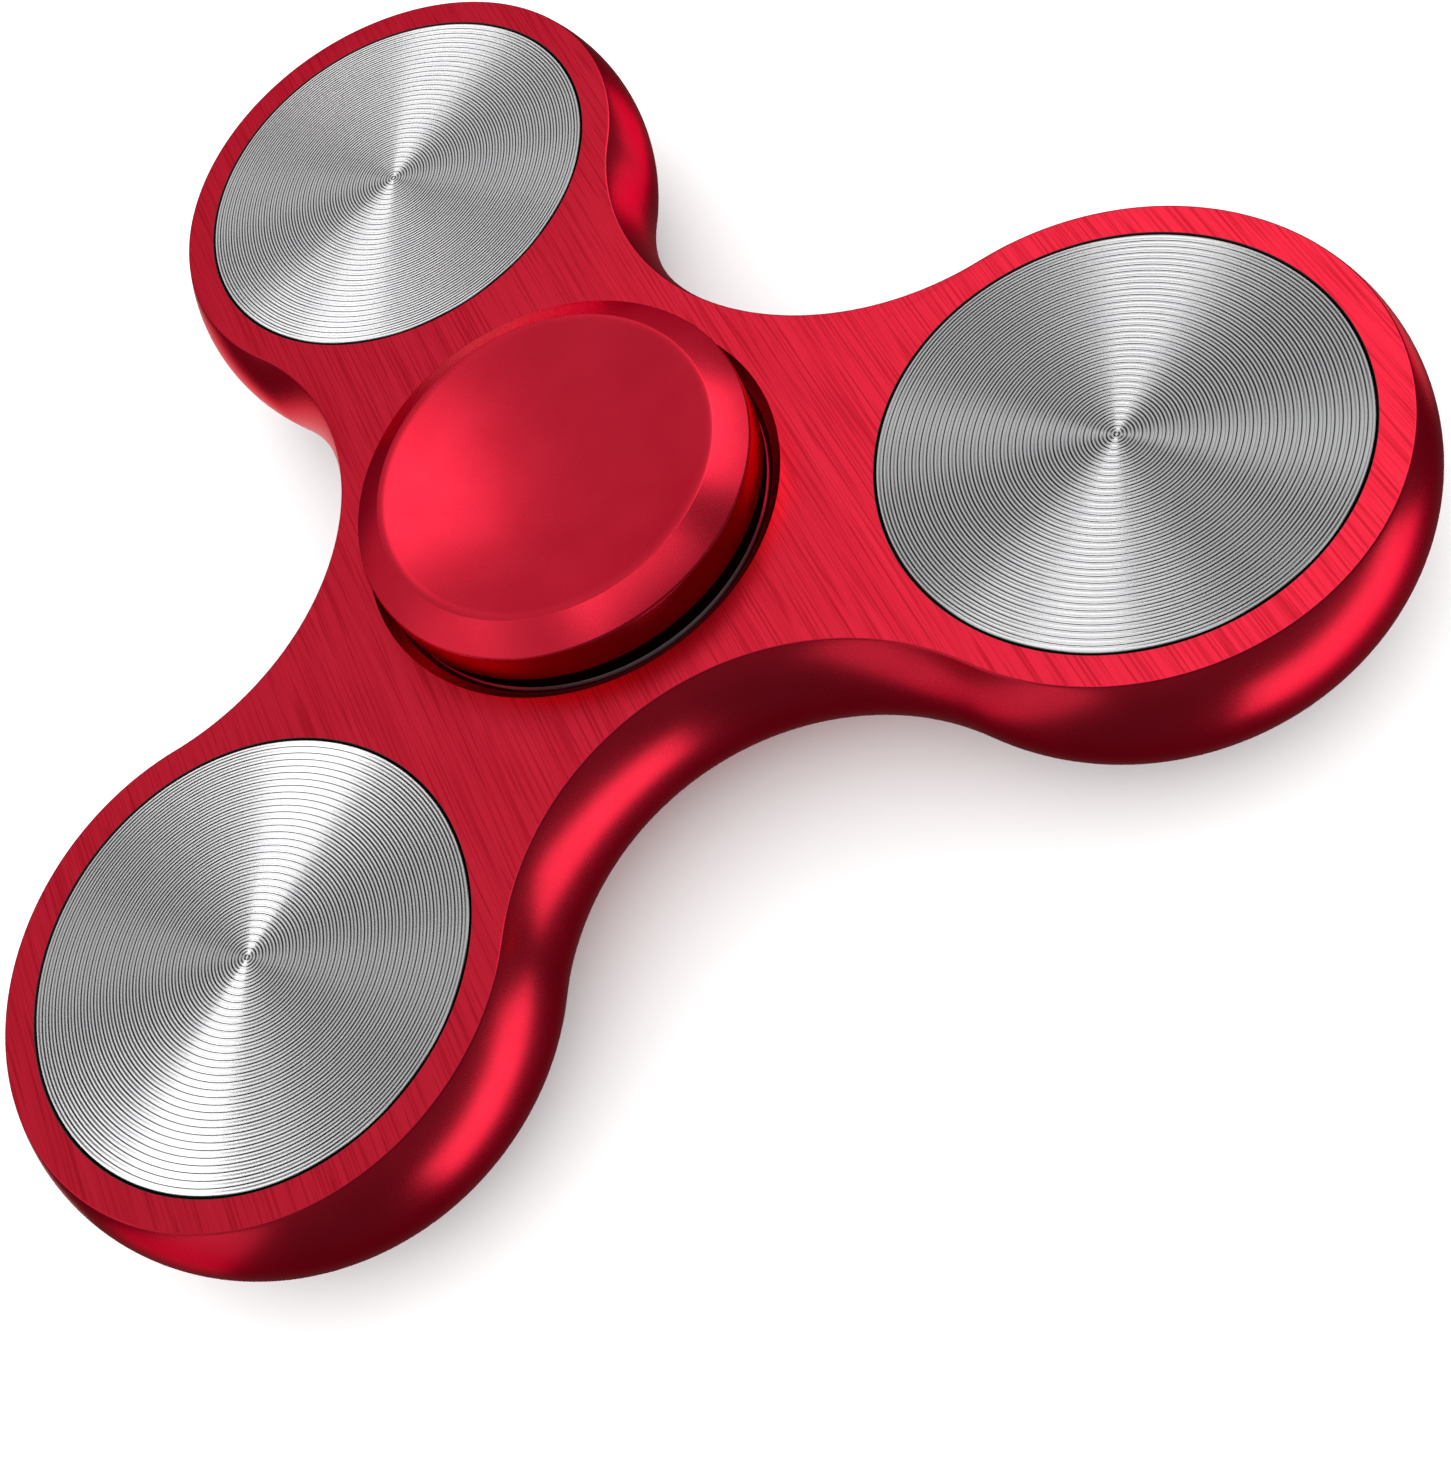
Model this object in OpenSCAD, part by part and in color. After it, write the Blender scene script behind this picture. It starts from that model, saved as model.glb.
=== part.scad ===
// Three-lobed fidget spinner. An aluminium frame carries a steel weight and two steel
// face plates in each lobe. It turns on a 608 ball bearing, which is clamped between two
// finger caps that screw together through the bearing's bore.
// All sizes are in millimetres. The origin is the bearing's centre, +Z is the spin axis,
// and the first lobe lies towards +Y.

/* [Frame] */
// Thickness between the two flat faces
frame_thickness = 8; // [7.8:0.1:8.6]
// Distance from the spin axis to the centre of each lobe
lobe_distance = 28.5; // [28:0.1:30]
// Radius of a lobe at mid-height, where the side wall is widest
lobe_radius = 14.75; // [14.4:0.05:15.2]
// Distance from the spin axis to the side wall between two lobes, at mid-height
waist_radius = 14.6; // [14.4:0.1:15.4]
// How far the rounded side wall stands out past the edges of the flat faces
wall_crown = 1.0; // [0.6:0.1:1.1]
// Width of the bevel along the edges of the flat faces
edge_bevel = 0.16; // [0.1:0.02:0.3]
// Radius of the countersink round the bearing, at the flat faces
countersink_radius = 11.55; // [11.3:0.05:12.2]

/* [Lobe inserts] */
// Radius of the round face plates
plate_radius = 11.92; // [11:0.02:12.1]
// Thickness of the face plates
plate_thickness = 1.2; // [0.8:0.1:1.6]
// Gap between a face plate and the wall of its pocket
plate_gap = 0.13; // [0.05:0.01:0.2]
// Radius of the steel weight in each lobe
weight_radius = 10; // [7:0.5:10.5]

/* [Finger caps] */
// Outer radius of a cap
cap_radius = 10.85; // [10:0.05:10.9]
// Height of a cap's rim above the flat face of the frame
cap_height = 3.7; // [3.2:0.05:4]
// Height of a cap's straight side wall above the flat face of the frame
cap_wall_height = 2.7; // [2:0.1:3]
// Gap between a cap's underside and the level of the flat face of the frame
cap_clearance = 0.5; // [0.1:0.1:0.8]
// Outer radius of the flat rim round the finger dish
rim_radius = 9.2; // [8.8:0.1:9.8]
// Width of the flat rim
rim_width = 0.35; // [0.2:0.05:0.6]
// Depth of the finger dish
dish_depth = 1.4; // [0.8:0.1:1.8]

/* [Hidden] */
$fn = 96;

half_thickness = frame_thickness / 2;
lobe_step = 120;
cut = 1;                       // how far a cutting shape runs past what it cuts

// The outline is six arcs in a ring: three lobes, and three valleys whose centres lie
// outside the frame. Each valley runs into its two lobes almost tangent to them, with a
// crossing just deep enough to be a definite edge.
crossing = 0.01;
lobe_side = lobe_distance * sin(lobe_step / 2);
valley_shift = waist_radius - lobe_distance * cos(lobe_step / 2);
tangent_radius = lobe_radius - crossing;
valley_radius = (valley_shift ^ 2 + lobe_side ^ 2 - tangent_radius ^ 2)
    / (2 * (tangent_radius - valley_shift));
valley_distance = waist_radius + valley_radius;

// The side wall is one shallow arc from face to face
crown_radius = (half_thickness ^ 2 + wall_crown ^ 2) / (2 * wall_crown);
wall_slope = asin(half_thickness / crown_radius);
bevel_tilt = (90 + wall_slope) / 2;
bevel_depth = edge_bevel / 2 * tan((90 - wall_slope) / 2);

pocket_radius = plate_radius + plate_gap;
pocket_floor = half_thickness - plate_thickness;
plate_bevel = 0.1;
weight_gap = 0.02;

// 608 bearing
bearing_radius = 11;
bearing_bore = 4;
bearing_width = 7;
bearing_half = bearing_width / 2;
ring_bevel = 0.3;
seat_gap = 0.005;
ball_count = 7;
ball_step = 360 / ball_count;
ball_radius = 1.984;
pitch_radius = 7.5;
race_radius = 2.03;
inner_land = 6.05;
outer_land = 8.95;
shield_seat = 9.6;
shield_thickness = 0.3;
shield_floor = 2.9;
shield_bore = 6.25;
cage_inner = 6.75;
cage_outer = 8.25;
cage_bottom = -2.7;
cage_top = 1.3;
cage_pocket = 2.08;

// Finger caps, measured from the middle plane
cap_floor = half_thickness + cap_clearance;
cap_rim = half_thickness + cap_height;
cap_wall_top = half_thickness + cap_wall_height;
dish_radius = rim_radius - rim_width;
dish_sphere = (dish_radius ^ 2 + dish_depth ^ 2) / (2 * dish_depth);
boss_radius = 5.4;
stem_radius = bearing_bore - 0.02;
stem_end = 0.05;               // each stem stops just short of the middle plane
screw_radius = 2.5;            // M5
screw_gap = 0.02;
screw_reach = 5;
screw_hole_depth = 5.2;

/* Frame */

module at_lobe(n) {
    rotate((n - 1) * lobe_step) translate([0, lobe_distance, 0]) children();
}

module at_valley(n) {
    rotate((n - 0.5) * lobe_step) translate([0, valley_distance, 0]) children();
}

// What lies outside the side wall, in section: x = 0 is the widest line of the wall, +x
// points away from the frame, and reach is how far the shape goes that way.
module outside_wall(reach) {
    difference() {
        translate([-wall_crown - cut, -half_thickness - 2 * cut])
            square([wall_crown + cut + reach, frame_thickness + 4 * cut]);
        translate([-crown_radius, 0]) circle(crown_radius);
    }
    for (side = [0, 1])
        mirror([0, side])
            translate([-wall_crown, half_thickness])
                rotate(bevel_tilt)
                    translate([-bevel_depth, -cut / 2]) square([cut, cut]);
}

module lobe_barrel() {
    rotate_extrude()
        difference() {
            translate([0, -half_thickness - cut])
                square([lobe_radius + cut, frame_thickness + 2 * cut]);
            translate([lobe_radius, 0]) outside_wall(2 * cut);
        }
}

module valley_cutter() {
    rotate_extrude() translate([valley_radius, 0]) mirror([1, 0]) outside_wall(cut);
    cylinder(r = valley_radius - cut / 2, h = frame_thickness + 2 * cut, center = true);
}

// The six-sided plate that joins the lobes, with its corners at the centres of the lobes
// and of the valleys
module web() {
    corner_distance = [lobe_distance, valley_distance];
    linear_extrude(frame_thickness + 4 * cut, center = true)
        polygon([for (i = [0:5]) corner_distance[i % 2] * [cos(90 + 60 * i), sin(90 + 60 * i)]]);
}

// The web and the lobes stand too tall at first, and one slab trims their faces flush
module solid_blank() {
    intersection() {
        union() {
            web();
            for (n = [1:3]) at_lobe(n) lobe_barrel();
        }
        cylinder(r = 2 * lobe_distance, h = frame_thickness, center = true);
    }
}

// The bearing's seat, right through, with a countersink at each end
module bearing_hole() {
    end = half_thickness + cut;
    widening = (countersink_radius - bearing_radius) / (half_thickness - bearing_half);
    end_radius = countersink_radius + widening * cut;
    rotate_extrude()
        polygon([
            [0, -end], [end_radius, -end], [bearing_radius, -bearing_half],
            [bearing_radius, bearing_half], [end_radius, end], [0, end]
        ]);
}

// A lobe's through hole for its weight, with a pocket for a face plate at each end
module lobe_hole() {
    end = half_thickness + cut;
    rotate_extrude()
        polygon([
            [0, -end], [pocket_radius, -end], [pocket_radius, -pocket_floor],
            [weight_radius, -pocket_floor], [weight_radius, pocket_floor],
            [pocket_radius, pocket_floor], [pocket_radius, end], [0, end]
        ]);
}

module frame() {
    color([0.82, 0.08, 0.17])
        difference() {
            difference() {
                solid_blank();
                bearing_hole();
                for (n = [1:3]) at_lobe(n) lobe_hole();
            }
            for (n = [1:3]) at_valley(n) valley_cutter();
        }
}

/* Lobe inserts */

// A round bar along Z with a bevel at each end
module bevelled_bar(radius, bottom, top, bevel) {
    rotate_extrude()
        polygon([
            [0, bottom], [radius - bevel, bottom], [radius, bottom + bevel],
            [radius, top - bevel], [radius - bevel, top], [0, top]
        ]);
}

module weight(n) {
    color([0.45, 0.46, 0.48])
        at_lobe(n)
            bevelled_bar(
                weight_radius - weight_gap, weight_gap - pocket_floor, pocket_floor - weight_gap, 0.3
            );
}

module face_plate(n) {
    color([0.8, 0.8, 0.82])
        at_lobe(n) bevelled_bar(plate_radius, pocket_floor, half_thickness, plate_bevel);
}

/* Bearing */

module bearing_outer_ring() {
    outside = bearing_radius - seat_gap;
    color([0.7, 0.71, 0.73])
        rotate_extrude()
            difference() {
                polygon([
                    [outer_land, -shield_floor], [shield_seat, -shield_floor],
                    [shield_seat, -bearing_half], [outside - ring_bevel, -bearing_half],
                    [outside, -bearing_half + ring_bevel], [outside, bearing_half - ring_bevel],
                    [outside - ring_bevel, bearing_half], [shield_seat, bearing_half],
                    [shield_seat, shield_floor], [outer_land, shield_floor]
                ]);
                translate([pitch_radius, 0]) circle(race_radius);
            }
}

module bearing_inner_ring() {
    color([0.7, 0.71, 0.73])
        rotate_extrude()
            difference() {
                polygon([
                    [bearing_bore, -bearing_half + ring_bevel],
                    [bearing_bore + ring_bevel, -bearing_half],
                    [inner_land, -bearing_half], [inner_land, bearing_half],
                    [bearing_bore + ring_bevel, bearing_half],
                    [bearing_bore, bearing_half - ring_bevel]
                ]);
                translate([pitch_radius, 0]) circle(race_radius);
            }
}

module at_ball(n) {
    rotate((n - 1) * ball_step) translate([0, pitch_radius, 0]) children();
}

module ball(n) {
    color([0.85, 0.85, 0.87]) at_ball(n) sphere(ball_radius);
}

// A crown cage: a ring with a snap pocket for each ball, open towards +Z
module ball_cage() {
    color([0.25, 0.22, 0.2])
        difference() {
            translate([0, 0, cage_bottom])
                difference() {
                    cylinder(r = cage_outer, h = cage_top - cage_bottom);
                    translate([0, 0, -cut])
                        cylinder(r = cage_inner, h = cage_top - cage_bottom + 2 * cut);
                }
            for (n = [1:ball_count]) at_ball(n) sphere(cage_pocket);
        }
}

module shield() {
    color([0.75, 0.76, 0.78])
        translate([0, 0, shield_floor])
            difference() {
                cylinder(r = shield_seat - seat_gap, h = shield_thickness);
                translate([0, 0, -cut])
                    cylinder(r = shield_bore, h = shield_thickness + 2 * cut);
            }
}

/* Finger caps */

// The dished button with its boss on the bearing's inner ring and its stem in the bore
module cap_body() {
    difference() {
        union() {
            rotate_extrude()
                polygon([
                    [0, cap_floor], [cap_radius, cap_floor], [cap_radius, cap_wall_top],
                    [rim_radius, cap_rim], [0, cap_rim]
                ]);
            translate([0, 0, bearing_half]) cylinder(r = boss_radius, h = cap_floor - bearing_half + cut);
            translate([0, 0, stem_end]) cylinder(r = stem_radius, h = cap_floor - stem_end + cut);
        }
        translate([0, 0, cap_rim - dish_depth + dish_sphere]) sphere(dish_sphere);
    }
}

module cap_top() {
    color([0.82, 0.08, 0.17]) {
        cap_body();
        translate([0, 0, -screw_reach])
            cylinder(r = screw_radius - screw_gap, h = screw_reach + cap_floor);
    }
}

module cap_bottom() {
    color([0.82, 0.08, 0.17])
        difference() {
            mirror([0, 0, 1]) cap_body();
            translate([0, 0, -screw_hole_depth])
                cylinder(r = screw_radius, h = screw_hole_depth + cut);
        }
}

frame();
for (n = [1:3]) {
    weight(n);
    face_plate(n);
    mirror([0, 0, 1]) face_plate(n);
}
bearing_outer_ring();
bearing_inner_ring();
ball_cage();
for (n = [1:ball_count]) ball(n);
shield();  // shield_top
mirror([0, 0, 1]) shield();  // shield_bottom
cap_top();
cap_bottom();
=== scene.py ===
"""Fidget spinner: the looks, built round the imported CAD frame. All lengths are in metres."""
import math

import bpy
from mathutils import Matrix, Vector
from mathutils.geometry import tessellate_polygon


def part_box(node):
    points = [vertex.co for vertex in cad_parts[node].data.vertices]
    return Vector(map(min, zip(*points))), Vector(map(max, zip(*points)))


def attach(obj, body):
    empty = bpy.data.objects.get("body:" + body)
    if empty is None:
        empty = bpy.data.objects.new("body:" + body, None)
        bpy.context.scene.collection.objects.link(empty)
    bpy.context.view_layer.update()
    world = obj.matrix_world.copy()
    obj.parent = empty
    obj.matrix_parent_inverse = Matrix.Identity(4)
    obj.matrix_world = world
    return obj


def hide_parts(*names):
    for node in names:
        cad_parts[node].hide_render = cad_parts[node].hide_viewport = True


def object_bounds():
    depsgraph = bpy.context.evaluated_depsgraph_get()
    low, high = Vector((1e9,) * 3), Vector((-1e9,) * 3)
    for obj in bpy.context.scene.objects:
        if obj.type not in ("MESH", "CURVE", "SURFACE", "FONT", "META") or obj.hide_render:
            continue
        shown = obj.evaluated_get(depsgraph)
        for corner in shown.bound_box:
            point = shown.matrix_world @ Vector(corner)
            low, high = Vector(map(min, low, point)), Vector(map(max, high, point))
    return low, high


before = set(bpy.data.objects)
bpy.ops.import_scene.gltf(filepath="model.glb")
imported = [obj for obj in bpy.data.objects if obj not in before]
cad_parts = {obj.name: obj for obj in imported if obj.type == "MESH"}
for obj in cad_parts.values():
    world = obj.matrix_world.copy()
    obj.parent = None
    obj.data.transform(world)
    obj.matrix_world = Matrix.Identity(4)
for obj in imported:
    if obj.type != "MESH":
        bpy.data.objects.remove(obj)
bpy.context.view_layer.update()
scene = bpy.context.scene

MM = 0.001
FULL_TURN = 2 * math.pi

# ---------------------------------------------------------------- sizes from the frame
_, frame_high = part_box("frame")
plate_low, plate_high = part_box("face_plate_top_1")
_, cap_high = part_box("cap_top")
_, ring_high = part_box("bearing_outer_ring")

HALF = frame_high.z
LOBE_DISTANCE = (plate_low.y + plate_high.y) / 2
LOBE_RADIUS = frame_high.y - LOBE_DISTANCE
PLATE_RADIUS = (plate_high.x - plate_low.x) / 2
PLATE_FLOOR = plate_low.z
CAP_RADIUS = cap_high.x
CAP_RIM = cap_high.z
RING_RADIUS = ring_high.x
RING_HALF = ring_high.z

# what the boxes don't give, as in the CAD source
WAIST_RADIUS = 14.6 * MM
WALL_CROWN = 1.0 * MM
COUNTERSINK_RADIUS = 11.55 * MM
PLATE_GAP = 0.13 * MM
POCKET_RADIUS = PLATE_RADIUS + PLATE_GAP
WEIGHT_RADIUS = 10.0 * MM
CAP_WALL_TOP = HALF + 2.7 * MM
CAP_FLOOR = HALF + 0.5 * MM
RIM_RADIUS = 9.2 * MM
RIM_WIDTH = 0.35 * MM
DISH_DEPTH = 1.4 * MM
BOSS_RADIUS = 5.4 * MM
STEM_RADIUS = 3.98 * MM
STEM_END = 0.05 * MM
SCREW_RADIUS = 2.48 * MM
SCREW_LENGTH = 5.0 * MM
SCREW_BEVEL = 0.3 * MM
SCREW_HOLE_RADIUS = 2.5 * MM
SCREW_HOLE_DEPTH = 5.2 * MM

LOBES = range(3)

# heights within TOUCHING are the same, and a face whose normal's Z is above LEVEL is level
TOUCHING = 0.001 * MM
LEVEL = 0.999


def point_at(distance, bearing):
    """The point at a distance from the spin axis, at a bearing from the X axis."""
    return (distance * math.cos(bearing), distance * math.sin(bearing))


def lobe_bearing(n):
    """The bearing of a lobe: the first one points along Y."""
    return math.pi / 2 + n * FULL_TURN / 3


# ---------------------------------------------------------------- mesh helpers
def arc(centre, radius, start, end, steps):
    """Points along an arc, from angle start to angle end, both ends included."""
    return [
        (
            centre[0] + radius * math.cos(start + (end - start) * i / steps),
            centre[1] + radius * math.sin(start + (end - start) * i / steps),
        )
        for i in range(steps + 1)
    ]


def rounded(corners, steps):
    """A path through (x, y, radius) corners, with an arc of that radius at each one."""
    path = []
    for i, (x, y, radius) in enumerate(corners):
        if radius == 0 or i in (0, len(corners) - 1):
            path.append((x, y))
            continue
        here = Vector((x, y))
        before = (Vector(corners[i - 1][:2]) - here).normalized()
        after = (Vector(corners[i + 1][:2]) - here).normalized()
        half_angle = before.angle(after) / 2
        centre = here + (before + after).normalized() * radius / math.sin(half_angle)
        first = here + before * radius / math.tan(half_angle) - centre
        last = here + after * radius / math.tan(half_angle) - centre
        start = math.atan2(first.y, first.x)
        sweep = math.remainder(math.atan2(last.y, last.x) - start, FULL_TURN)
        path += arc(centre, radius, start, start + sweep, steps)
    return path


def new_object(name, vertices, faces, sharp_angle):
    """A smooth mesh object, with sharp edges where faces meet at more than sharp_angle degrees."""
    mesh = bpy.data.meshes.new(name)
    mesh.from_pydata(vertices, [], faces)
    mesh.validate()
    mesh.shade_smooth()
    mesh.set_sharp_from_angle(angle=math.radians(sharp_angle))
    piece = bpy.data.objects.new(name, mesh)
    scene.collection.objects.link(piece)
    return piece


def keep_flats_flat(piece):
    """Weights the normals by face area, so a small round doesn't shade its wide neighbours."""
    weighted = piece.modifiers.new("weighted normals", "WEIGHTED_NORMAL")
    weighted.mode = "FACE_AREA"
    weighted.keep_sharp = True


def lathe(name, profile, segments, sharp_angle):
    """Turns a profile of (radius, height) points about the Z axis."""
    vertices = []
    rings = []
    for radius, height in profile:
        count = 1 if radius == 0 else segments
        rings.append(range(len(vertices), len(vertices) + count))
        for i in range(count):
            turn = FULL_TURN * i / segments
            vertices.append((radius * math.cos(turn), radius * math.sin(turn), height))
    faces = []
    for upper, lower in zip(rings, rings[1:]):
        for i in range(segments):
            j = (i + 1) % segments
            face = [upper[i % len(upper)], lower[i % len(lower)]]
            if len(lower) > 1:
                face.append(lower[j])
            if len(upper) > 1:
                face.append(upper[j])
            faces.append(face)
    return new_object(name, vertices, faces, sharp_angle)


def place(piece, matrix):
    """Moves a piece's mesh, and turns its faces right side out where the move mirrors it."""
    piece.data.transform(matrix)
    if matrix.determinant() < 0:
        piece.data.flip_normals()


def add_finishes(piece, finishes, choose=None):
    """Gives a piece its materials; choose says which of them a polygon has."""
    for finish in finishes:
        piece.data.materials.append(finish)
    if choose:
        for polygon in piece.data.polygons:
            polygon.material_index = choose(polygon)


# ---------------------------------------------------------------- frame shell
EDGE_ROUND = 0.14 * MM
EDGE_STEPS = 6
CROWN_STEPS = 24
HOLE_EDGE = 0.03 * MM
HOLE_SEGMENTS = 192
LOBE_STEPS = 112
VALLEY_STEPS = 56
FRAME_SHARP_ANGLE = 25
# the walls of a lobe's hole reach less than this far beyond its pocket's radius
POCKET_SLACK = 0.1 * MM

lobe_side = LOBE_DISTANCE * math.sin(math.pi / 3)
valley_shift = WAIST_RADIUS - LOBE_DISTANCE * math.cos(math.pi / 3)
VALLEY_RADIUS = (valley_shift**2 + lobe_side**2 - LOBE_RADIUS**2) / (
    2 * (LOBE_RADIUS - valley_shift)
)
VALLEY_DISTANCE = WAIST_RADIUS + VALLEY_RADIUS
# how far a lobe's arc carries on below the line square to the lobe's own radius
LOBE_DIP = math.atan2(
    LOBE_DISTANCE - VALLEY_DISTANCE * math.cos(math.pi / 3),
    VALLEY_DISTANCE * math.sin(math.pi / 3),
)
LOBE_REACH = math.pi / 2 + LOBE_DIP
VALLEY_REACH = LOBE_REACH - math.pi / 3
CROWN_RADIUS = (HALF**2 + WALL_CROWN**2) / (2 * WALL_CROWN)


def outline(inset):
    """The frame's outline, moved inwards by inset: three lobes and three valleys."""
    points = []
    for n in LOBES:
        turn = lobe_bearing(n)
        lobe = point_at(LOBE_DISTANCE, turn)
        points += arc(
            lobe, LOBE_RADIUS - inset, turn - LOBE_REACH, turn + LOBE_REACH, LOBE_STEPS
        )[:-1]
        turn += math.pi / 3
        valley = point_at(VALLEY_DISTANCE, turn)
        inwards = turn + math.pi
        points += arc(
            valley,
            VALLEY_RADIUS + inset,
            inwards + VALLEY_REACH,
            inwards - VALLEY_REACH,
            VALLEY_STEPS,
        )[:-1]
    return points


def wall_section():
    """The side wall from the top face to the bottom face, as (inset, height) points."""
    slope = math.asin((HALF - EDGE_ROUND) / (CROWN_RADIUS - EDGE_ROUND))
    round_inset = CROWN_RADIUS - (CROWN_RADIUS - EDGE_ROUND) * math.cos(slope)
    edge_centre = (-round_inset, HALF - EDGE_ROUND)
    upper = arc(edge_centre, EDGE_ROUND, math.pi / 2, slope, EDGE_STEPS)
    middle = arc((-CROWN_RADIUS, 0), CROWN_RADIUS, slope, -slope, CROWN_STEPS)
    lower = [(x, -z) for x, z in reversed(upper)]
    return [(-x, z) for x, z in upper[:-1] + middle + lower[1:]]


def mirrored_section(upper):
    """A hole's wall from the top face to the bottom face, from its upper half."""
    return upper + [(radius, -z) for radius, z in reversed(upper)]


def build_frame_shell():
    vertices = []
    faces = []

    def ring(points, height):
        start = len(vertices)
        vertices.extend((x, y, height) for x, y in points)
        return list(range(start, len(vertices)))

    def wall(rings):
        """Joins the rings, top to bottom, and gives back the first and the last."""
        for upper, lower in zip(rings, rings[1:]):
            for i in range(len(upper)):
                j = (i + 1) % len(upper)
                faces.append([upper[i], lower[i], lower[j], upper[j]])
        return rings[0], rings[-1]

    bearing_hole = mirrored_section([
        (COUNTERSINK_RADIUS, HALF),
        (RING_RADIUS, RING_HALF),
        (RING_RADIUS, 0),
    ])
    lobe_hole = mirrored_section([
        (POCKET_RADIUS + HOLE_EDGE, HALF),
        (POCKET_RADIUS, HALF - HOLE_EDGE),
        (POCKET_RADIUS, PLATE_FLOOR),
        (WEIGHT_RADIUS, PLATE_FLOOR),
        (WEIGHT_RADIUS, 0),
    ])
    holes = [((0, 0), bearing_hole)]
    for n in LOBES:
        holes.append((point_at(LOBE_DISTANCE, lobe_bearing(n)), lobe_hole))

    walls = [wall([ring(outline(inset), z) for inset, z in wall_section()])]
    for centre, section in holes:
        walls.append(wall([
            ring(arc(centre, radius, FULL_TURN, 0, HOLE_SEGMENTS)[:-1], z)
            for radius, z in section
        ]))

    # the two flat faces, between the outline and the holes
    for loops, faces_up in zip(zip(*walls), (True, False)):
        order = [index for loop in loops for index in loop]
        corners = [[Vector((*vertices[i][:2], 0)) for i in loop] for loop in loops]
        for triangle in tessellate_polygon(corners):
            face = [order[i] for i in triangle]
            a, b, c = (Vector(vertices[i]) for i in face)
            if ((b - a).cross(c - a).z > 0) != faces_up:
                face.reverse()
            faces.append(face)
    piece = new_object("frame_shell", vertices, faces, FRAME_SHARP_ANGLE)
    keep_flats_flat(piece)
    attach(piece, "rotor")
    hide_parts("frame")
    return piece


def frame_finish(polygon):
    """0 for the outer wall, 1 for the two brushed faces, 2 for the pocket round each disc, painted
    near black as the shade in the gap.
    """
    middle = polygon.center
    if abs(polygon.normal.z) > LEVEL and abs(middle.z) > HALF - TOUCHING:
        return 1
    from_lobe = min(
        math.dist(middle[:2], point_at(LOBE_DISTANCE, lobe_bearing(n))) for n in LOBES
    )
    return 2 if from_lobe < POCKET_RADIUS + POCKET_SLACK else 0


# ---------------------------------------------------------------- spun discs
PLATE_EDGE = 0.03 * MM
GROOVE_PAIRS = 32
# the shares of one pitch: two grooves and two lands, and the floor of the first groove, painted
# dark as shade
LAND = 0.22
GROOVE = 0.28
PAINTED_SHADE_FLOOR = 0.13
# the plain spot in the middle, as a share of one pitch
FIRST_GROOVE = 0.2
GROOVE_PITCH = (PLATE_RADIUS - PLATE_EDGE) / (GROOVE_PAIRS + FIRST_GROOVE)
GROOVE_DEPTH = 0.024 * MM
DISC_SEGMENTS = 192
DISC_SHARP_ANGLE = 5


def plate_profile():
    """From the centre of the grooved face, out over the edge and back along the plain face."""
    side = (GROOVE - PAINTED_SHADE_FLOOR) / 2
    floor_depth = GROOVE_DEPTH * side / (GROOVE / 2)
    pitch_shape = (
        (side, floor_depth),
        (PAINTED_SHADE_FLOOR, floor_depth),
        (side, 0),
        (LAND, 0),
        (GROOVE / 2, GROOVE_DEPTH),
        (GROOVE / 2, 0),
        (LAND, 0),
    )
    points = [(0, HALF), (FIRST_GROOVE * GROOVE_PITCH, HALF)]
    for n in range(GROOVE_PAIRS):
        along = n + FIRST_GROOVE
        for width, depth in pitch_shape:
            along += width
            points.append((along * GROOVE_PITCH, HALF - depth))
    points += [
        (PLATE_RADIUS, HALF - PLATE_EDGE),
        (PLATE_RADIUS, PLATE_FLOOR + PLATE_EDGE),
        (PLATE_RADIUS - PLATE_EDGE, PLATE_FLOOR),
        (0, PLATE_FLOOR),
    ]
    return points


def disc_finish(polygon):
    """0 for the lands and plain faces, 1 for a groove's sides, in darker steel as painted shade, 2
    for a groove's floor, painted near black as shade.
    """
    depth = HALF - polygon.center.z
    if not TOUCHING < depth < GROOVE_DEPTH:
        return 0
    return 2 if polygon.normal.z > LEVEL else 1


def build_plates(finishes):
    """The three top discs, and then the three bottom ones."""
    plates = []
    profile = plate_profile()
    for side, flip in (("top", 1), ("bottom", -1)):
        for n in LOBES:
            plate = lathe(f"disc_{side}_{n + 1}", profile, DISC_SEGMENTS, DISC_SHARP_ANGLE)
            add_finishes(plate, finishes, disc_finish)
            turn = Matrix.Rotation(n * FULL_TURN / 3, 4, "Z")
            shift = Matrix.Translation((0, LOBE_DISTANCE, 0))
            mirror = Matrix.Scale(flip, 4, (0, 0, 1))
            place(plate, mirror @ turn @ shift)
            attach(plate, "rotor")
            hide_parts(f"face_plate_{side}_{n + 1}")
            plates.append(plate)
    return plates


# ---------------------------------------------------------------- finger caps
CAP_SEGMENTS = 256
CAP_SHARP_ANGLE = 30
DISH_STEPS = 40
ROUND_STEPS = 6
RIM_ROUND = 0.12 * MM
WALL_ROUND = 0.2 * MM
FOOT_ROUND = 0.15 * MM


def cap_profile():
    """From the middle of the dish, out over the rim, down the wall and in to the stem's end."""
    dish_radius = RIM_RADIUS - RIM_WIDTH
    sphere = (dish_radius**2 + DISH_DEPTH**2) / (2 * DISH_DEPTH)
    opening = math.asin(dish_radius / sphere)
    centre = (0, CAP_RIM - DISH_DEPTH + sphere)
    dish = arc(centre, sphere, -math.pi / 2, -math.pi / 2 + opening, DISH_STEPS)
    outside = [
        (dish_radius, CAP_RIM, 0),
        (RIM_RADIUS, CAP_RIM, RIM_ROUND),
        (CAP_RADIUS, CAP_WALL_TOP, WALL_ROUND),
        (CAP_RADIUS, CAP_FLOOR, FOOT_ROUND),
        (BOSS_RADIUS, CAP_FLOOR, 0),
        (BOSS_RADIUS, RING_HALF, 0),
        (STEM_RADIUS, RING_HALF, 0),
        (STEM_RADIUS, STEM_END, 0),
    ]
    return [(0, CAP_RIM - DISH_DEPTH)] + dish[1:-1] + rounded(outside, ROUND_STEPS)


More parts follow.
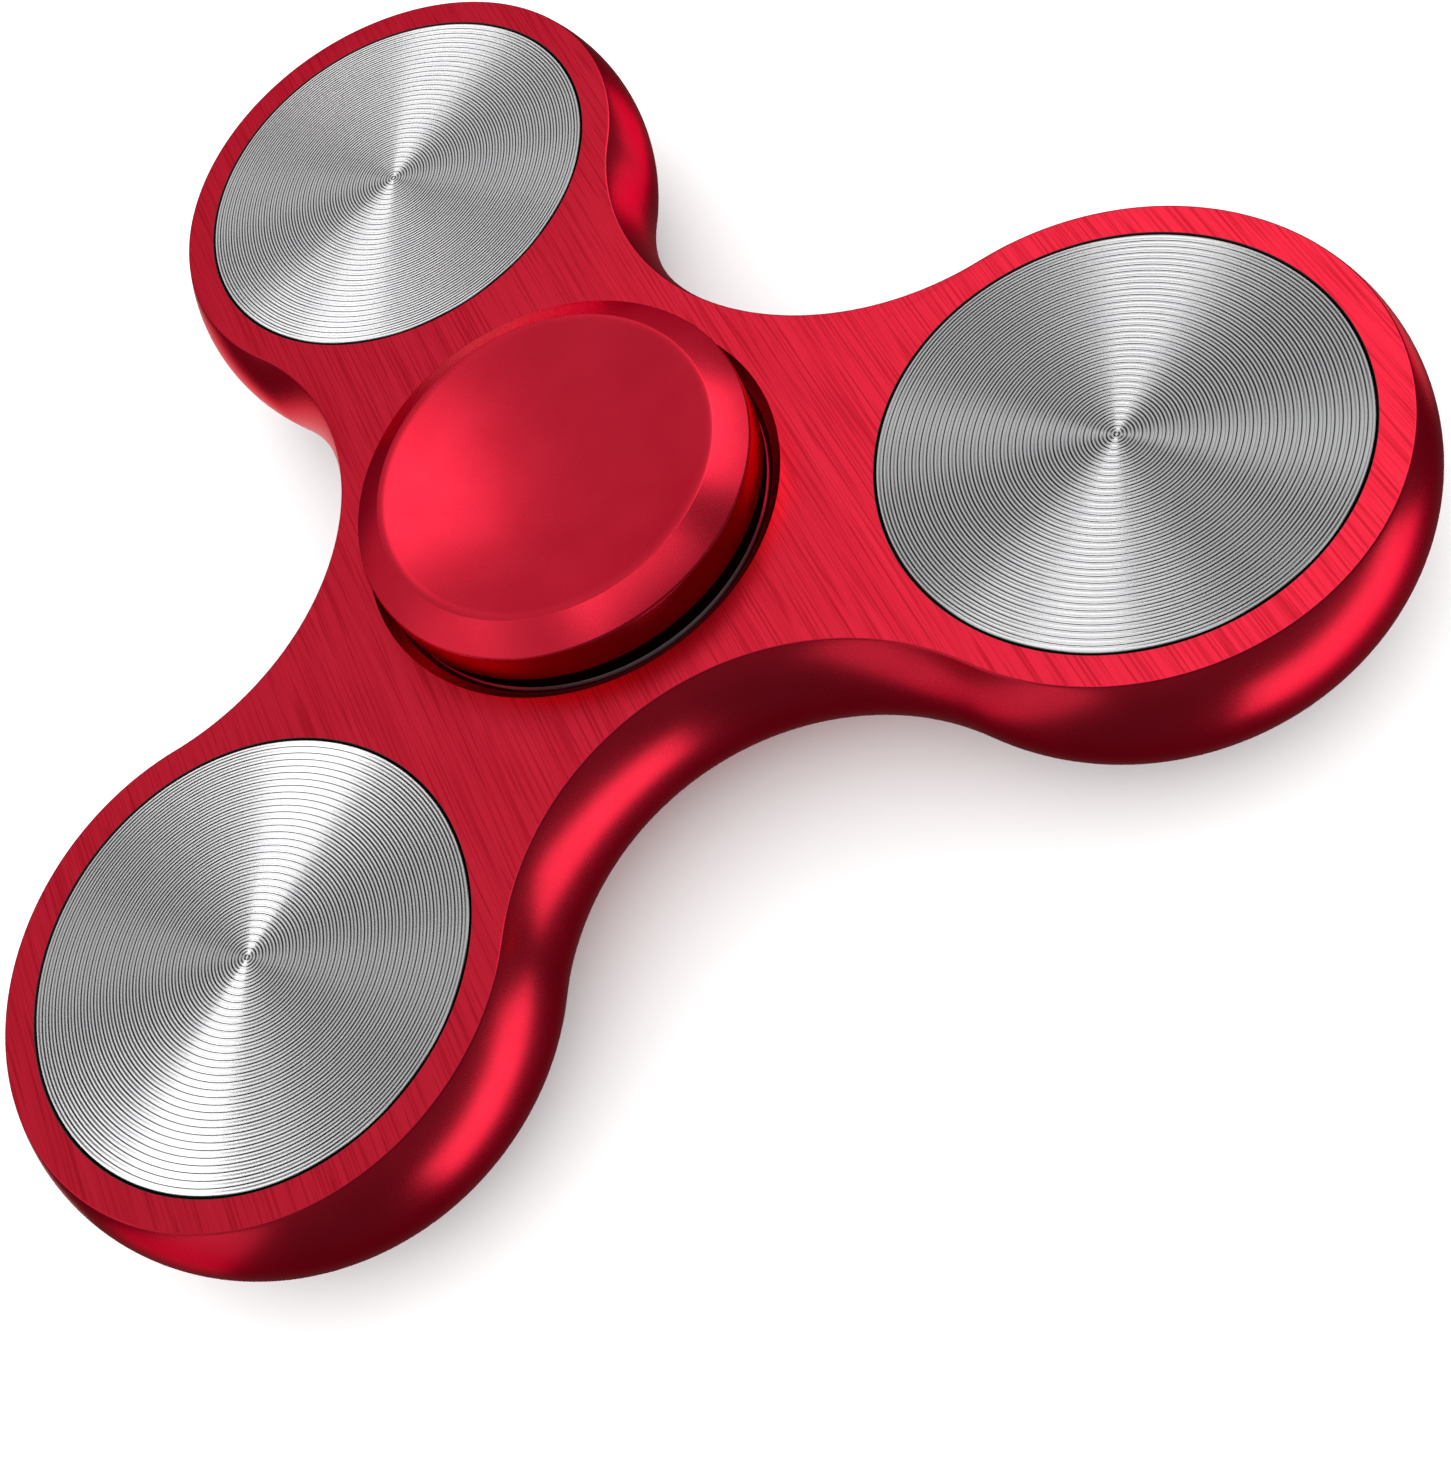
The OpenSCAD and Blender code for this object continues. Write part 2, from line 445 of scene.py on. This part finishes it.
def build_caps(finish):
    """The top cap, which has the screw, and the bottom cap, which has the hole for it."""
    screw = [
        (SCREW_RADIUS, STEM_END),
        (SCREW_RADIUS, SCREW_BEVEL - SCREW_LENGTH),
        (SCREW_RADIUS - SCREW_BEVEL, -SCREW_LENGTH),
        (0, -SCREW_LENGTH),
    ]
    hole = [
        (SCREW_HOLE_RADIUS, STEM_END),
        (SCREW_HOLE_RADIUS, SCREW_HOLE_DEPTH),
        (0, SCREW_HOLE_DEPTH),
    ]
    caps = []
    for name, middle, flip in (("cap_top", screw, 1), ("cap_bottom", hole, -1)):
        cap = lathe(name + "_shell", cap_profile() + middle, CAP_SEGMENTS, CAP_SHARP_ANGLE)
        add_finishes(cap, [finish])
        place(cap, Matrix.Scale(flip, 4, (0, 0, 1)))
        keep_flats_flat(cap)
        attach(cap, "hub")
        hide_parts(name)
        caps.append(cap)
    return caps


# ---------------------------------------------------------------- material helpers
BUMP_HEIGHT = 0.01 * MM


def new_material(name, metallic):
    material = bpy.data.materials.new(name)
    material.use_nodes = True
    nodes = material.node_tree.nodes
    shader = nodes["Principled BSDF"]
    shader.inputs["Metallic"].default_value = metallic
    return material, nodes, material.node_tree.links, shader


def noise(nodes, links, cells, detail=3):
    """A noise texture; cells is how many it has per millimetre along X, Y and Z."""
    coordinates = nodes.new("ShaderNodeTexCoord")
    mapping = nodes.new("ShaderNodeMapping")
    mapping.inputs["Scale"].default_value = [count / MM for count in cells]
    texture = nodes.new("ShaderNodeTexNoise")
    texture.inputs["Scale"].default_value = 1
    texture.inputs["Detail"].default_value = detail
    links.new(coordinates.outputs["Object"], mapping.inputs["Vector"])
    links.new(mapping.outputs["Vector"], texture.inputs["Vector"])
    return texture.outputs["Fac"]


def spread(nodes, links, value, low, high, start=0.3, end=0.7):
    """Maps a value between start and end onto low to high, and clamps it there."""
    mapped = nodes.new("ShaderNodeMapRange")
    mapped.inputs["From Min"].default_value = start
    mapped.inputs["From Max"].default_value = end
    mapped.inputs["To Min"].default_value = low
    mapped.inputs["To Max"].default_value = high
    links.new(value, mapped.inputs["Value"])
    return mapped.outputs["Result"]


def blend_colours(nodes, links, factor, first, second):
    """Mixes two colours; the first may be a colour or another node's output."""
    mix = nodes.new("ShaderNodeMix")
    mix.data_type = "RGBA"
    colours = [socket for socket in mix.inputs if socket.type == "RGBA"]
    if isinstance(first, tuple):
        colours[0].default_value = first
    else:
        links.new(first, colours[0])
    colours[1].default_value = second
    links.new(factor, mix.inputs["Factor"])
    return next(socket for socket in mix.outputs if socket.type == "RGBA")


def add_bump(nodes, links, shader, height, strength):
    """Shades the surface as if it rose by BUMP_HEIGHT where height is 1, to that strength."""
    bump = nodes.new("ShaderNodeBump")
    bump.inputs["Strength"].default_value = strength
    bump.inputs["Distance"].default_value = BUMP_HEIGHT
    links.new(height, bump.inputs["Height"])
    links.new(bump.outputs["Normal"], shader.inputs["Normal"])


# ---------------------------------------------------------------- red aluminium
RED = (0.90, 0.027, 0.062, 1)
RED_DEEP = (0.82, 0.022, 0.052, 1)
RED_SCRATCH = (0.60, 0.012, 0.030, 1)
RED_GRAZING = (0.88, 0.38, 0.40, 1)
# how far the scratch colour covers the red in a hairline
HAIR_WEAR = 0.75


def red_satin(name):
    """Bead-blasted and anodised aluminium: smooth, with a very fine even grain."""
    material, nodes, links, shader = new_material(name, 1)
    shader.inputs["Specular Tint"].default_value = RED_GRAZING
    cloud = noise(nodes, links, (0.3, 0.3, 0.3))
    grain = noise(nodes, links, (14, 14, 14), 2)
    tone = blend_colours(nodes, links, spread(nodes, links, cloud, 0, 1), RED, RED_DEEP)
    links.new(tone, shader.inputs["Base Color"])
    links.new(spread(nodes, links, grain, 0.26, 0.31), shader.inputs["Roughness"])
    add_bump(nodes, links, shader, grain, 0.04)
    return material


def red_brushed(name):
    """The same aluminium with straight hairlines and broader, deeper bands along the Y axis."""
    material, nodes, links, shader = new_material(name, 1)
    shader.inputs["Specular Tint"].default_value = RED_GRAZING
    hairs = noise(nodes, links, (8, 0.1, 1), 4)
    bands = noise(nodes, links, (1.3, 0.04, 1), 2)
    scratches = noise(nodes, links, (5, 0.12, 1), 1)
    tone = blend_colours(nodes, links, spread(nodes, links, bands, 0, 1), RED, RED_DEEP)
    for pattern, start, end in ((hairs, 0.49, 0.62), (scratches, 0.61, 0.68)):
        worn = spread(nodes, links, pattern, 0, HAIR_WEAR, start, end)
        tone = blend_colours(nodes, links, worn, tone, RED_SCRATCH)
    links.new(tone, shader.inputs["Base Color"])
    links.new(spread(nodes, links, hairs, 0.30, 0.40), shader.inputs["Roughness"])
    shader.inputs["Anisotropic"].default_value = 0.6
    across = nodes.new("ShaderNodeCombineXYZ")
    across.inputs["X"].default_value = 1
    links.new(across.outputs["Vector"], shader.inputs["Tangent"])
    add_bump(nodes, links, shader, hairs, 0.2)
    return material


# ---------------------------------------------------------------- steel and plain finishes
def spun_steel(name, tone):
    """Steel turned in a lathe: the fine tool marks run round the disc's centre."""
    material, nodes, links, shader = new_material(name, 1)
    cloud = noise(nodes, links, (0.5, 0.5, 0.5))
    darker = 0.95 * tone
    light_steel = (tone, tone, tone, 1)
    dark_steel = (darker, darker, 1.02 * darker, 1)
    clouded = spread(nodes, links, cloud, 0, 1)
    links.new(
        blend_colours(nodes, links, clouded, light_steel, dark_steel),
        shader.inputs["Base Color"],
    )
    shader.inputs["Roughness"].default_value = 0.25
    shader.inputs["Anisotropic"].default_value = 0.6
    shader.inputs["Anisotropic Rotation"].default_value = 0.25
    tangent = nodes.new("ShaderNodeTangent")
    tangent.direction_type = "RADIAL"
    tangent.axis = "Z"
    links.new(tangent.outputs["Tangent"], shader.inputs["Tangent"])
    return material


def plain_finish(name, colour, roughness, metallic=1):
    """A plain material with slight cloudiness in its tone and its gloss."""
    material, nodes, links, shader = new_material(name, metallic)
    cloud = noise(nodes, links, (2, 2, 2))
    darker = [0.8 * channel for channel in colour]
    clouded = spread(nodes, links, cloud, 0, 1)
    links.new(
        blend_colours(nodes, links, clouded, (*colour, 1), (*darker, 1)),
        shader.inputs["Base Color"],
    )
    links.new(
        spread(nodes, links, cloud, 0.85 * roughness, 1.2 * roughness),
        shader.inputs["Roughness"],
    )
    return material


# ---------------------------------------------------------------- assembly
satin = red_satin("red_satin")
brushed = red_brushed("red_brushed")
# painted shade: the pocket walls and floors round the discs are near black, for the shade in the
# narrow gap
gap_painted_shade = plain_finish("gap_painted_shade", (0.012, 0.01, 0.01), 0.6, 0)
frame_shell = build_frame_shell()
add_finishes(frame_shell, (satin, brushed, gap_painted_shade), frame_finish)
discs = build_plates((
    spun_steel("spun_steel", 0.55),
    # painted shade: the groove sides get a darker copy of the disc steel, and the first groove's
    # floor is near black, for the shade down in the grooves
    spun_steel("groove_steel", 0.42),
    plain_finish("dark_groove_floor", (0.02, 0.02, 0.022), 0.5),
))
caps = build_caps(satin)

# the finish of each CAD piece, under its full name or the first word of its name
CAD_FINISHES = {
    "weight": plain_finish("weight_steel", (0.35, 0.35, 0.36), 0.4),
    "shield": plain_finish("shield_steel", (0.5, 0.5, 0.52), 0.35),
    "bearing": plain_finish("bearing_steel", (0.56, 0.56, 0.58), 0.2),
    "ball": plain_finish("ball_steel", (0.66, 0.66, 0.68), 0.08),
    "ball_cage": plain_finish("cage_nylon", (0.10, 0.08, 0.06), 0.5, 0),
}
CAD_SHARP_ANGLE = 30
for name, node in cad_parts.items():
    if name.startswith(("face_plate", "cap", "frame")):
        continue
    key = name if name in CAD_FINISHES else name.split("_")[0]
    node.data.materials.clear()
    node.data.materials.append(CAD_FINISHES[key])
    node.data.shade_smooth()
    node.data.set_sharp_from_angle(angle=math.radians(CAD_SHARP_ANGLE))

# ---------------------------------------------------------------- camera
CAMERA_LOCATION = Vector((6.8, -73.64, 89.8)) * MM
CAMERA_TARGET = Vector((1.15, -17.73, 4.0)) * MM
CAMERA_ROLL = math.radians(-35.78)

camera_data = bpy.data.cameras.new("camera")
camera_data.sensor_width = 36
camera_data.lens = 52.41
camera_data.clip_start = 0.001
camera_data.clip_end = 10
camera = bpy.data.objects.new("camera", camera_data)
camera.location = CAMERA_LOCATION
aim = (CAMERA_TARGET - CAMERA_LOCATION).to_track_quat("-Z", "Y").to_matrix().to_4x4()
camera.rotation_euler = (aim @ Matrix.Rotation(CAMERA_ROLL, 4, "Z")).to_euler()
scene.collection.objects.link(camera)
scene.camera = camera
scene.view_settings.view_transform = "Standard"

# ---------------------------------------------------------------- floor
FLOOR_REACH = 1.5
FLOOR_COLOUR = (0.85, 0.85, 0.85, 1)

floor_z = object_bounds()[0].z
floor_mesh = bpy.data.meshes.new("floor")
floor_corners = [
    (x * FLOOR_REACH, y * FLOOR_REACH, floor_z) for x, y in ((-1, -1), (1, -1), (1, 1), (-1, 1))
]
floor_mesh.from_pydata(floor_corners, [], [(0, 1, 2, 3)])
floor = bpy.data.objects.new("floor", floor_mesh)
scene.collection.objects.link(floor)
floor_material, _, _, floor_shader = new_material("floor", 0)
floor_shader.inputs["Base Color"].default_value = FLOOR_COLOUR
floor_shader.inputs["Roughness"].default_value = 1
floor_shader.inputs["Specular IOR Level"].default_value = 0
floor_mesh.materials.append(floor_material)
floor.visible_glossy = False
floor.visible_shadow = False

# ---------------------------------------------------------------- world
WHITE_BACKDROP = 1.8
GLOSSY_ZENITH = 0.09
GLOSSY_HORIZON = 0.15
GLOSSY_NADIR = 0.10


def build_world():
    """White for the camera and the floor; a dim dome, darker below, for reflections."""
    world = bpy.data.worlds.new("studio")
    scene.world = world
    world.use_nodes = True
    world.cycles.sampling_method = "NONE"
    nodes = world.node_tree.nodes
    links = world.node_tree.links
    direction = nodes.new("ShaderNodeTexCoord")
    split = nodes.new("ShaderNodeSeparateXYZ")
    links.new(direction.outputs["Generated"], split.inputs["Vector"])
    ramp = nodes.new("ShaderNodeValToRGB")
    ramp.color_ramp.interpolation = "EASE"
    stops = ((0.0, GLOSSY_NADIR), (0.25, GLOSSY_NADIR), (0.5, GLOSSY_HORIZON), (1.0, GLOSSY_ZENITH))
    while len(ramp.color_ramp.elements) < len(stops):
        ramp.color_ramp.elements.new(0.5)
    for element, (position, value) in zip(ramp.color_ramp.elements, stops):
        element.position = position
        element.color = (value, value, value, 1)
    links.new(spread(nodes, links, split.outputs["Z"], 0, 1, -1, 1), ramp.inputs["Fac"])
    dome = nodes["Background"]
    links.new(ramp.outputs["Color"], dome.inputs["Color"])
    backdrop = nodes.new("ShaderNodeBackground")
    backdrop.inputs["Color"].default_value = (1, 1, 1, 1)
    backdrop.inputs["Strength"].default_value = WHITE_BACKDROP
    path = nodes.new("ShaderNodeLightPath")
    choose = nodes.new("ShaderNodeMixShader")
    links.new(path.outputs["Is Glossy Ray"], choose.inputs["Fac"])
    links.new(backdrop.outputs["Background"], choose.inputs[1])
    links.new(dome.outputs["Background"], choose.inputs[2])
    links.new(choose.outputs["Shader"], nodes["World Output"].inputs["Surface"])


build_world()

# ---------------------------------------------------------------- light cards
CARD_DISTANCE = 0.6


def card(name, direction, spans, radiance, pieces, along=(1, 0, 0), middle=(0, 0, 0)):
    """A soft light card that lights only the given pieces.

    It lies in that direction from middle. Its two spans are in degrees as seen from there: the
    first one runs along the vector along, and the second one across it.
    """
    away = Vector(direction).normalized()
    data = bpy.data.lights.new(name, "AREA")
    data.shape = "RECTANGLE"
    data.size, data.size_y = (
        2 * CARD_DISTANCE * math.tan(math.radians(span) / 2) for span in spans
    )
    data.energy = radiance * math.pi * data.size * data.size_y
    light = bpy.data.objects.new(name, data)
    scene.collection.objects.link(light)
    across = away.cross(Vector(along)).normalized()
    axes = Matrix((across.cross(away), across, away)).transposed()
    light.matrix_world = Matrix.Translation(Vector(middle) + away * CARD_DISTANCE) @ axes.to_4x4()
    lit = bpy.data.collections.new(name + "_lights")
    for piece in pieces:
        lit.objects.link(piece)
    light.light_linking.receiver_collection = lit


# the red pieces and the caps: broad cards above, and cards below for the wall's highlights
red_pieces = [frame_shell, *caps]
card("fill", (-0.25, 0.60, 0.76), (120, 78), 0.36, red_pieces)
card("left", (-0.92, -0.2, 0.35), (60, 50), 0.25, red_pieces, (0, 1, 0))
card("key", (0.42, 0.43, 0.80), (42, 38), 1.0, red_pieces)
card("right", (0.70, 0.30, 0.64), (20, 40), 1.2, caps)
card("overhead", (0.07, -0.30, 0.95), (44, 17), 1.2, caps, (1, 0.2, 0))
card("front_left", (-0.50, -0.25, 0.83), (44, 40), 0.4, caps)
card("behind", (0.30, 0.95, 0.06), (50, 26), 0.22, caps)
card("under_front", (0.48, -0.62, -0.61), (56, 28), 1.35, red_pieces, (0.8, 0.35, 0.25))
card("under_right", (0.76, 0.45, -0.46), (24, 26), 0.85, red_pieces, (0, 1, 0))
card("under_back", (-0.36, 0.63, -0.68), (40, 28), 0.9, red_pieces)
card("under_left", (-0.82, -0.34, -0.42), (20, 56), 0.5, red_pieces)

# low cards on the camera's side, which the discs reflect when seen from the sides and the back
RING_BEARINGS = range(-180, 1, 45)
RING_RISE = 0.45
RING_SPANS = (60, 16)
for bearing in RING_BEARINGS:
    direction = (*point_at(1, math.radians(bearing)), RING_RISE)
    card(f"ring_{bearing}", direction, RING_SPANS, 1.0, discs, (0, 0, 1))

# the cards that each top disc mirrors to the camera: one in its lands, and two pairs in the
# sides of its grooves, which make the bright and the weak bow-tie of a spun disc
GROOVE_TILT = math.atan(GROOVE_DEPTH / (GROOVE * GROOVE_PITCH / 2))
LAND_SPANS = (24, 24)
LAND_RADIANCE = 0.7
GROOVE_SPAN = 54
# bearing in degrees, width in degrees and radiance
BOW_TIES = ((50, 24, 3.0), (-36, 20, 0.45))
# the tilts, as shares of the grooves' own, that a card's near end, middle and far end answer to
TILT_SHARES = (0.3, 0.85, 1.4)


def mirrored(seen, bearing, tilt):
    """Where the light comes from in a facet whose normal leans from Z by tilt, towards bearing."""
    normal = Vector((*point_at(math.sin(tilt), bearing), math.cos(tilt)))
    return 2 * seen.dot(normal) * normal - seen


for n in LOBES:
    disc = discs[n]
    centre = Vector((*point_at(LOBE_DISTANCE, lobe_bearing(n)), HALF))
    seen = (CAMERA_LOCATION - centre).normalized()
    card(f"land_{n + 1}", mirrored(seen, 0, 0), LAND_SPANS, LAND_RADIANCE, [disc], middle=centre)
    for bearing, width, radiance in BOW_TIES:
        for side in (-1, 1):
            near, middle, far = (
                mirrored(seen, math.radians(bearing), side * share * GROOVE_TILT)
                for share in TILT_SHARES
            )
            name = f"groove_{n + 1}_{bearing}_{side}"
            card(name, middle, (GROOVE_SPAN, width), radiance, [disc], far - near, centre)
